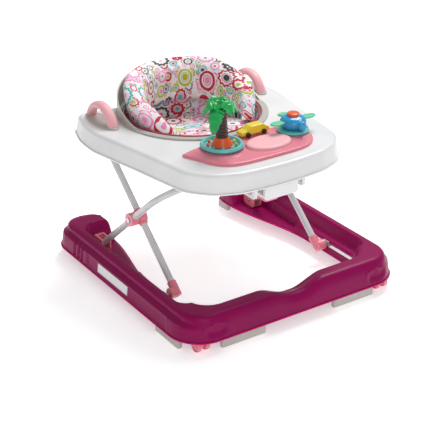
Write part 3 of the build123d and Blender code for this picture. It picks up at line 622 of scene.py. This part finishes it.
class BaseShape:
    """Plan and heights of the moulded base, in millimetres, for its right half."""
    LEVELS = (28, 30.6, 31.2, 38, 46, 52, 57.3, 64, 67.5, 71, 76.3, 81, 85, 87.2, 88)
    FRONT = (0, 0, 3, 4, 5, 5.9, 6.8, 8.2, 9.2, 10.4, 12.2, 14.8, 18.5, 23, 30)
    RAIL = (0, 0, 3, 3.9, 4.8, 5.6, 6.2, 7.8, 16.5, 20.2, 18.8, 19.6, 22.4, 26, 31)
    INNER = (0, 0, 3, 3.6, 4.4, 5, 5.6, 6.4, 6.9, 7.6, 9.4, 12, 15.5, 19, 23)
    LIP_LEVEL = 2
    LIP = 31.2
    TOP = 88.0
    LEDGE = 58.0
    POCKET = 34.0
    HALF_WIDTH = 305
    CORNER_X, CORNER_Y, CORNER_RADIUS = 224, -237, 81
    INNER_X, INNER_Y, INNER_RADIUS = 184, -208, 39
    REAR_X, REAR_Y, REAR_RADIUS = 240, 253, 65
    INNER_REAR_X, INNER_REAR_Y, INNER_REAR_RADIUS = 228, 265, 53
    FRONT_Y = CORNER_Y - CORNER_RADIUS
    INNER_FRONT_Y = INNER_Y - INNER_RADIUS
    TIP = (REAR_X, REAR_Y + REAR_RADIUS)
    CORNER_SPAN, REAR_SPAN = 127, 110
    WAVE_HALF, WAVE_SPREAD = 44, 58
    WAVE_FLAT, WAVE_RIM, WAVE_DROP = 8, 7, 24
    REAR_DROP, REAR_DROP_Y, REAR_DROP_SPAN = 7, 274, 46
    LEDGE_X, LEDGE_FRONT_Y, LEDGE_REAR_Y = 232, -196, 206
    LEDGE_RADIUS, LEDGE_SLOPE = 20, 14
    POCKET_FRONT_Y, POCKET_REAR_Y, POCKET_X = 12, 220, 246
    SIDE_X = 290
    PANEL_DEPTH, PANEL_Y, PANEL_Z = 2.6, (-216, 142), (32.5, 65)
    GROOVES, GROOVE_DEPTH, GROOVE_HALF, GROOVE_Z = (166, 184, 202), 4.4, 5.2, (30, 67)
    OVAL_ALONG, OVAL_Z, OVAL_LENGTH, OVAL_HEIGHT = 226, 53, 31, 15
    OVAL_DEPTH, OVAL_RIDGE = 4.6, 1.7

    def __init__(self, step):
        self.outer, self.inner, self.turn, self.end = [], [], [], []
        self.section(self.CORNER_X, step, self.front, 0, 0)
        self.section(self.CORNER_SPAN, step, self.corner, lambda t: ease((t - 0.25) / 0.75), 0)
        self.section(self.REAR_Y - self.CORNER_Y, step, self.rail, 1, 0)
        self.section(self.REAR_SPAN, step / 2, self.rear_end, 1, ease)
        self.outer.append(self.TIP)
        self.inner.append(self.TIP)
        self.turn.append(1)
        self.end.append(1)

    def section(self, length, step, place, turn, end):
        count = max(2, round(length / step))
        for index in range(count):
            t = index / count
            outer, inner = place(t)
            self.outer.append(outer)
            self.inner.append(inner)
            self.turn.append(turn(t) if callable(turn) else turn)
            self.end.append(end(t) if callable(end) else end)

    def front(self, t):
        return (self.CORNER_X * t, self.FRONT_Y), (self.INNER_X * t, self.INNER_FRONT_Y)

    def corner(self, t):
        across, along = math.sin(math.pi / 2 * t), math.cos(math.pi / 2 * t)
        return ((self.CORNER_X + self.CORNER_RADIUS * across, self.CORNER_Y - self.CORNER_RADIUS * along),
                (self.INNER_X + self.INNER_RADIUS * across, self.INNER_Y - self.INNER_RADIUS * along))

    def rail(self, t):
        """The outer side is straight, and the inner side widens the rail towards the rear."""
        outer_y = self.CORNER_Y + (self.REAR_Y - self.CORNER_Y) * t
        inner_y = self.INNER_Y + (self.INNER_REAR_Y - self.INNER_Y) * t
        inner_x = self.INNER_X + self.INNER_RADIUS
        return (self.HALF_WIDTH, outer_y), (inner_x - 48 * ease((inner_y + 44) / 290), inner_y)

    def rear_end(self, t):
        """The outer and inner sides meet in the middle of the rounded rear end."""
        across, along = math.cos(math.pi / 2 * t), math.sin(math.pi / 2 * t)
        inner_x = self.INNER_REAR_X + (self.REAR_X - self.INNER_REAR_X) * t
        inner_y = self.INNER_REAR_Y + self.INNER_REAR_RADIUS * along
        return ((self.REAR_X + self.REAR_RADIUS * across, self.REAR_Y + self.REAR_RADIUS * along),
                (inner_x - self.INNER_REAR_RADIUS * across, inner_y))

    @staticmethod
    def normals(line, side):
        found = []
        for index in range(len(line)):
            before, after = line[max(0, index - 1)], line[min(len(line) - 1, index + 1)]
            along = (after[0] - before[0], after[1] - before[1])
            size = math.hypot(*along)
            found.append((-side * along[1] / size, side * along[0] / size))
        found[0] = (0, side)
        found[-1] = (0, -1)
        return found

    def top(self, x, y):
        """Height of the upper surface at a point: the wave in the front bar, ledge, pocket and rear end."""
        height = self.TOP
        depth = (y - self.FRONT_Y) / (self.INNER_FRONT_Y - self.FRONT_Y)
        if depth < 1.05:
            half = self.WAVE_HALF + self.WAVE_SPREAD * depth
            drop = self.WAVE_RIM + self.WAVE_DROP * ease(depth)
            height -= drop * (1 - ease((x - self.WAVE_FLAT) / half))
        height -= self.REAR_DROP * ease((y - self.REAR_DROP_Y) / self.REAR_DROP_SPAN)
        corner_x = max(0, x - self.LEDGE_X)
        corner_y = max(0, self.LEDGE_FRONT_Y - y, y - self.LEDGE_REAR_Y)
        ledge = ease(1 - (math.hypot(corner_x, corner_y) - self.LEDGE_RADIUS) / self.LEDGE_SLOPE)
        height += (self.LEDGE - height) * ledge
        into_pocket = y - self.POCKET_FRONT_Y
        slant = 231 - 35 * into_pocket / 160
        inside = min(self.POCKET_X - x, x - max(196, slant), into_pocket, self.POCKET_REAR_Y - y)
        return height + (self.POCKET - height) * ease((inside + 2) / 4)

    def side(self, level, x, y, along):
        """How far the outer wall is set in at a level, with its panel, grooves and ovals."""
        z = self.LEVELS[level]
        deeper = 0.0
        if x > self.SIDE_X:
            panel = min(y - self.PANEL_Y[0], self.PANEL_Y[1] - y, z - self.PANEL_Z[0], self.PANEL_Z[1] - z)
            deeper = self.PANEL_DEPTH * ease(panel / 3)
            for middle in self.GROOVES:
                groove = min(self.GROOVE_HALF - abs(y - middle), self.GROOVE_Z[1] - z, z - self.GROOVE_Z[0])
                deeper = max(deeper, self.GROOVE_DEPTH * ease(groove / 3.5))
        oval = math.hypot((along - self.OVAL_ALONG) / self.OVAL_LENGTH, (z - self.OVAL_Z) / self.OVAL_HEIGHT)
        deeper = max(deeper, self.OVAL_DEPTH * ease((1 - oval) / 0.30))
        return deeper - self.OVAL_RIDGE * ease(1 - abs(oval - 1.12) / 0.16)

    def wall_in(self, z):
        """How far the rail's outer wall is set in at a height."""
        upper = next(i for i, level in enumerate(self.LEVELS) if level > z)
        part = (z - self.LEVELS[upper - 1]) / (self.LEVELS[upper] - self.LEVELS[upper - 1])
        return self.RAIL[upper - 1] + (self.RAIL[upper] - self.RAIL[upper - 1]) * part


class WALKER_OT_base(bpy.types.Operator):
    """Makes the moulded base with its soft edges, front wave, ledges and side grooves, and its blank label"""
    bl_idname = "walker.base"
    bl_label = "Moulded base"
    LABEL_Z = (36.0, 63.0)
    LABEL_LIFT = 0.35
    SLOT_Y, SLOT_Z, SLOT_WALL_X = (-221, -49), (44, 53), (215, 232)

    def execute(self, context):
        shape = BaseShape(4.0)
        inward = shape.normals(shape.outer, 1)
        outward = shape.normals(shape.inner, -1)
        across = 34
        columns = [self.column(shape, i, inward, outward, across) for i in range(len(shape.outer))]
        rows = len(columns[0])
        deselect()
        bpy.ops.mesh.primitive_grid_add(x_subdivisions=len(columns) - 1, y_subdivisions=rows - 1, size=2)
        base = context.object
        base.name = "base_moulding"
        for vertex in base.data.vertices:
            column = round((vertex.co.x + 1) / 2 * (len(columns) - 1))
            row = round((vertex.co.y + 1) / 2 * (rows - 1))
            vertex.co = Vector(columns[column][row]) * MM
        self.open_slot(base)
        apply_modifier(base, "MIRROR", use_axis=(True, False, False), merge_threshold=0.00005)
        activate(base)
        bpy.ops.object.mode_set(mode="EDIT")
        bpy.ops.mesh.select_all(action="SELECT")
        bpy.ops.mesh.remove_doubles(threshold=0.00005)
        bpy.ops.mesh.normals_make_consistent(inside=False)
        bpy.ops.object.mode_set(mode="OBJECT")
        if sum(face.normal.z for face in base.data.polygons) < 0:
            base.data.flip_normals()
        apply_modifier(base, "SOLIDIFY", thickness=2.4 * MM, offset=-1)
        finish_piece(base, "base", "base_plastic", "base_shell", smooth=50)
        self.label(shape)
        return {"FINISHED"}

    def label(self, shape):
        """A blank sticker that lies on the outer wall of the left rail."""
        low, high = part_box("blank_label")
        bottom, top = self.LABEL_Z

        def place(u, v):
            z = bottom + (top - bottom) * v
            x = shape.HALF_WIDTH - shape.wall_in(z) - shape.PANEL_DEPTH + self.LABEL_LIFT
            return Vector((-x * MM, low.y + (high.y - low.y) * u, z * MM))

        sticker = wrapped_grid("rail_label", 20, 12, place)
        apply_modifier(sticker, "SOLIDIFY", thickness=0.2 * MM, offset=0)
        activate(sticker)
        bpy.ops.object.mode_set(mode="EDIT")
        bpy.ops.mesh.select_all(action="SELECT")
        bpy.ops.mesh.normals_make_consistent(inside=False)
        bpy.ops.object.mode_set(mode="OBJECT")
        finish_piece(sticker, "base", "label", "blank_label")

    @staticmethod
    def column(shape, index, inward, outward, across):
        """Points of one section, from the outer lip over the top to the inner lip."""
        turn, end = shape.turn[index], shape.end[index]
        along = sum(math.dist(shape.outer[i], shape.outer[i + 1]) for i in range(index))
        walls = []
        for line, normal, inner in ((shape.outer, inward, 0), (shape.inner, outward, 1)):
            spot, way = line[index], normal[index]
            reach = []
            for level in range(len(shape.LEVELS)):
                outer_in = shape.FRONT[level] + (shape.RAIL[level] - shape.FRONT[level]) * turn
                set_in = outer_in + (shape.INNER[level] - outer_in) * inner * (1 - end)
                if level > shape.LIP_LEVEL and not inner:
                    set_in += shape.side(level, *spot, along) * (1 - end)
                reach.append(set_in)
            last = (spot[0] + way[0] * reach[-1], spot[1] + way[1] * reach[-1])
            scale = (shape.top(*last) - shape.LIP) / (shape.TOP - shape.LIP)
            wall = []
            for level, z in enumerate(shape.LEVELS):
                raised = z if level <= shape.LIP_LEVEL else shape.LIP + (z - shape.LIP) * scale
                wall.append((spot[0] + way[0] * reach[level], spot[1] + way[1] * reach[level], raised))
            walls.append(wall)
        start, stop = walls[0][-1], walls[1][-1]
        middle = []
        for step in range(1, across):
            t = step / across
            x, y = (start[i] + (stop[i] - start[i]) * t for i in range(2))
            middle.append((x, y, shape.top(x, y)))
        return walls[0] + middle + walls[1][::-1]

    def open_slot(self, base):
        """Opens the slot for the foot pin in the inner wall."""
        limits = (self.SLOT_WALL_X, self.SLOT_Y, self.SLOT_Z)
        activate(base)
        bpy.ops.object.mode_set(mode="EDIT")
        bpy.ops.mesh.select_all(action="DESELECT")
        mesh = bmesh.from_edit_mesh(base.data)
        for face in mesh.faces:
            spot = face.calc_center_median() / MM
            if all(start < place < stop for place, (start, stop) in zip(spot, limits)):
                face.select_set(True)
        bmesh.update_edit_mesh(base.data)
        bpy.ops.mesh.delete(type="FACE")
        bpy.ops.object.mode_set(mode="OBJECT")


class WALKER_OT_seat(bpy.types.Operator):
    """Makes the padded back, the seat cushion and the liner under it"""
    bl_idname = "walker.seat"
    bl_label = "Padded seat"

    def execute(self, context):
        seat = context.scene.walker_seat
        pieces = (
            ("seat_back_cushion", "seat_back_pad", 10, 0.8),
            ("seat_bottom_cushion", "seat_cushion", 12, 0.7),
            ("seat_liner", "seat_sling", 4, 0.3),
        )
        for name, node, rounds, fill in pieces:
            piece = own_copy(node, name)
            soften(piece, seat.voxel, rounds)
            swell(piece, seat.pressure, seat.swell * fill)
            apply_modifier(piece, "SUBSURF", levels=1, render_levels=1)
            if node == "seat_cushion":
                print_map(piece, lambda p: p.x, lambda p: p.y)
            else:
                print_map(piece, round_the_ring, over_the_crest if node == "seat_back_pad" else up_the_bowl)
            finish_piece(piece, "tray", "fabric_print", node, smooth=60)
        return {"FINISHED"}


class WALKER_OT_toys(bpy.types.Operator):
    """Makes the rounded toys: palm tree, car, aeroplane and music button"""
    bl_idname = "walker.toys"
    bl_label = "Toys"

    def execute(self, context):
        rounded = (
            ("car_shell", "car_body", "car", "yellow_plastic", 0.0011, 6),
            ("aeroplane_shell", "plane_body", "plane", "blue_plastic", 0.0012, 6),
            ("aeroplane_wings", "plane_wings", "plane", "lime_plastic", 0.0010, 4),
            ("aeroplane_cap", "plane_cap", "plane", "orange_plastic", 0.0010, 5),
            ("music_pad", "music_button", "music", "pink_soft", 0.0015, 8),
        )
        for name, node, body, slot, voxel, rounds in rounded:
            piece = soften(own_copy(node, name), voxel, rounds)
            finish_piece(piece, body, slot, node, smooth=50)
        self.palm()
        return {"FINISHED"}

    def palm(self):
        low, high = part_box("palm_leaves")
        trunk_low, trunk_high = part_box("palm_trunk")
        crown = Vector(((low.x + high.x) / 2, (low.y + high.y) / 2, trunk_high.z + 6 * MM))
        reach = (high.x - low.x) / 2
        fronds = []
        habits = ((212, 0.28, 1.30), (150, 0.60, 0.85), (95, 0.72, 0.74), (35, 0.68, 0.74),
                  (340, 0.64, 0.76), (282, 0.72, 0.74))
        for index, (turn, rise, droop) in enumerate(habits):
            fronds.append(self.frond(index, crown, math.radians(turn), reach, rise, droop))
        activate(fronds[0])
        for frond in fronds:
            frond.select_set(True)
        bpy.ops.object.join()
        leaves = bpy.context.object
        leaves.name = "palm_fronds"
        finish_piece(leaves, "palm", "green_plastic", "palm_leaves", smooth=50)
        self.trunk(trunk_low, trunk_high)

    def frond(self, index, crown, turn, reach, rise, fall):
        """One arched leaf with scalloped edges and a raised rib."""
        across = Vector((-math.sin(turn), math.cos(turn), 0))
        outward = Vector((math.cos(turn), math.sin(turn), 0))

        def place(u, v):
            side = 2 * v - 1
            width = 0.36 * reach * math.sin(math.pi * (0.10 + 0.88 * u)) ** 0.6
            width *= 1 + 0.22 * abs(math.sin(5 * math.pi * u)) * abs(side)
            arch = reach * (rise * math.sin(1.9 * u) - fall * u * u)
            droop = -0.22 * reach * side * side
            ridge = 1.0 * MM * math.cos(10 * math.pi * u + 2.4 * abs(side))
            return (crown + outward * reach * (0.98 - 0.12 * fall * u) * u + across * width * side
                    + Vector((0, 0, arch + droop + ridge + 2 * MM)))

        leaf = wrapped_grid(f"frond_{index}", 40, 12, place)
        apply_modifier(leaf, "SOLIDIFY", thickness=2.6 * MM, offset=0)
        apply_modifier(leaf, "BEVEL", width=0.8 * MM, segments=2, limit_method="ANGLE")
        apply_modifier(leaf, "SUBSURF", levels=1, render_levels=1)
        return leaf

    def trunk(self, low, high):
        """A ribbed trunk that narrows upwards, with nuts under its crown."""
        middle = (low + high) / 2
        height = high.z - low.z
        radius = (high.x - low.x) / 2

        def place(u, v):
            turn = 2 * math.pi * u
            rib = (v * 8) % 1.0
            flare = 1 - 0.28 * v + 0.13 * rib ** 1.5
            ripple = 1 + 0.03 * math.sin(7 * turn)
            wide = 0.97 * radius * flare * ripple
            return Vector((middle.x + wide * math.cos(turn) - 1.5 * MM * v, middle.y + wide * math.sin(turn),
                           low.z + height * v))

        trunk = wrapped_grid("palm_trunk_bark", 64, 96, place)
        activate(trunk)
        bpy.ops.object.mode_set(mode="EDIT")
        bpy.ops.mesh.select_all(action="SELECT")
        bpy.ops.mesh.remove_doubles(threshold=0.0001)
        bpy.ops.mesh.select_all(action="DESELECT")
        bpy.ops.mesh.select_non_manifold()
        bpy.ops.mesh.edge_face_add()
        bpy.ops.mesh.select_all(action="SELECT")
        bpy.ops.mesh.normals_make_consistent(inside=False)
        bpy.ops.object.mode_set(mode="OBJECT")
        nuts = []
        nut_ring = 9 * MM
        for turn in (200, 250, 150):
            angle = math.radians(turn)
            spot = Vector((
                middle.x + nut_ring * math.cos(angle),
                middle.y + nut_ring * math.sin(angle),
                high.z - 4 * MM))
            deselect()
            bpy.ops.mesh.primitive_uv_sphere_add(segments=20, ring_count=12, radius=5.2 * MM, location=spot)
            nuts.append(bpy.context.object)
        activate(trunk)
        for nut in nuts:
            nut.select_set(True)
        bpy.ops.object.join()
        finish_piece(trunk, "palm", "brown_plastic", "palm_trunk", smooth=40)


class WALKER_OT_stage(bpy.types.Operator):
    """Adds the pale floor, the soft lights and the camera"""
    bl_idname = "walker.stage"
    bl_label = "Stage"

    def execute(self, context):
        scene = context.scene
        deselect()
        bpy.ops.mesh.primitive_plane_add(size=40)
        floor = context.object
        floor.name = "studio_floor"
        skin = Shader("studio_floor", srgb(0.985, 0.985, 0.985), 0.9, Emission_Strength=0.45)
        skin.shader.inputs["Emission Color"].default_value = (1, 1, 1, 1)
        skin.shader.inputs["Specular IOR Level"].default_value = 0.1
        floor.data.materials.append(skin.material)
        world = bpy.data.worlds.new("studio")
        scene.world = world
        world.use_nodes = True
        world.node_tree.nodes["Background"].inputs["Color"].default_value = (1, 1, 1, 1)
        world.node_tree.nodes["Background"].inputs["Strength"].default_value = 0.42
        lights = (
            ("key", (1.3, 0.7, 2.5), 1.3, 52),
            ("fill", (-1.0, -2.6, 1.7), 1.8, 14),
        )
        for name, spot, size, power in lights:
            data = bpy.data.lights.new(name, "AREA")
            data.size = size
            data.energy = power
            lamp = bpy.data.objects.new(name, data)
            scene.collection.objects.link(lamp)
            lamp.location = spot
            lamp.rotation_euler = (Vector((0, 0, 0.2)) - Vector(spot)).to_track_quat("-Z", "Y").to_euler()
        self.camera(scene)
        scene.view_settings.view_transform = "Standard"
        scene.view_settings.exposure = 0.0
        return {"FINISHED"}

    def camera(self, scene):
        view = scene.walker_view
        back = Vector((
            math.sin(view.azimuth) * math.cos(view.elevation),
            -math.cos(view.azimuth) * math.cos(view.elevation),
            math.sin(view.elevation)))
        target = Vector((-3.4, 30.6, 131.6)) * MM
        data = bpy.data.cameras.new("camera")
        data.sensor_width = 36
        data.lens = view.lens
        camera = bpy.data.objects.new("camera", data)
        scene.collection.objects.link(camera)
        camera.location = target + back * view.distance
        camera.rotation_euler = (-back).to_track_quat("-Z", "Y").to_euler()
        scene.camera = camera


class WALKER_PT_panel(bpy.types.Panel):
    """Sidebar panel with every step"""
    bl_idname = "WALKER_PT_panel"
    bl_label = "Baby walker"
    bl_space_type = "VIEW_3D"
    bl_region_type = "UI"
    bl_category = "Walker"

    def draw(self, context):
        for group in (context.scene.walker_finish, context.scene.walker_seat, context.scene.walker_view):
            for key in group.__annotations__:
                self.layout.prop(group, key)
        for operator in OPERATORS:
            self.layout.operator(operator.bl_idname)


GROUPS = {"walker_finish": WalkerFinish, "walker_seat": WalkerSeat, "walker_view": WalkerView}
OPERATORS = (WALKER_OT_carried_parts, WALKER_OT_base, WALKER_OT_seat, WALKER_OT_toys, WALKER_OT_stage)


def register():
    for group in GROUPS.values():
        bpy.utils.register_class(group)
    for name, group in GROUPS.items():
        setattr(bpy.types.Scene, name, bpy.props.PointerProperty(type=group))
    for operator in (*OPERATORS, WALKER_PT_panel):
        bpy.utils.register_class(operator)


def unregister():
    for operator in reversed((*OPERATORS, WALKER_PT_panel)):
        bpy.utils.unregister_class(operator)
    for name in GROUPS:
        delattr(bpy.types.Scene, name)
    for group in GROUPS.values():
        bpy.utils.unregister_class(group)


def main():
    register()
    bpy.ops.walker.carried_parts()
    bpy.ops.walker.base()
    bpy.ops.walker.seat()
    bpy.ops.walker.toys()
    bpy.ops.walker.stage()


if __name__ == "__main__":
    main()
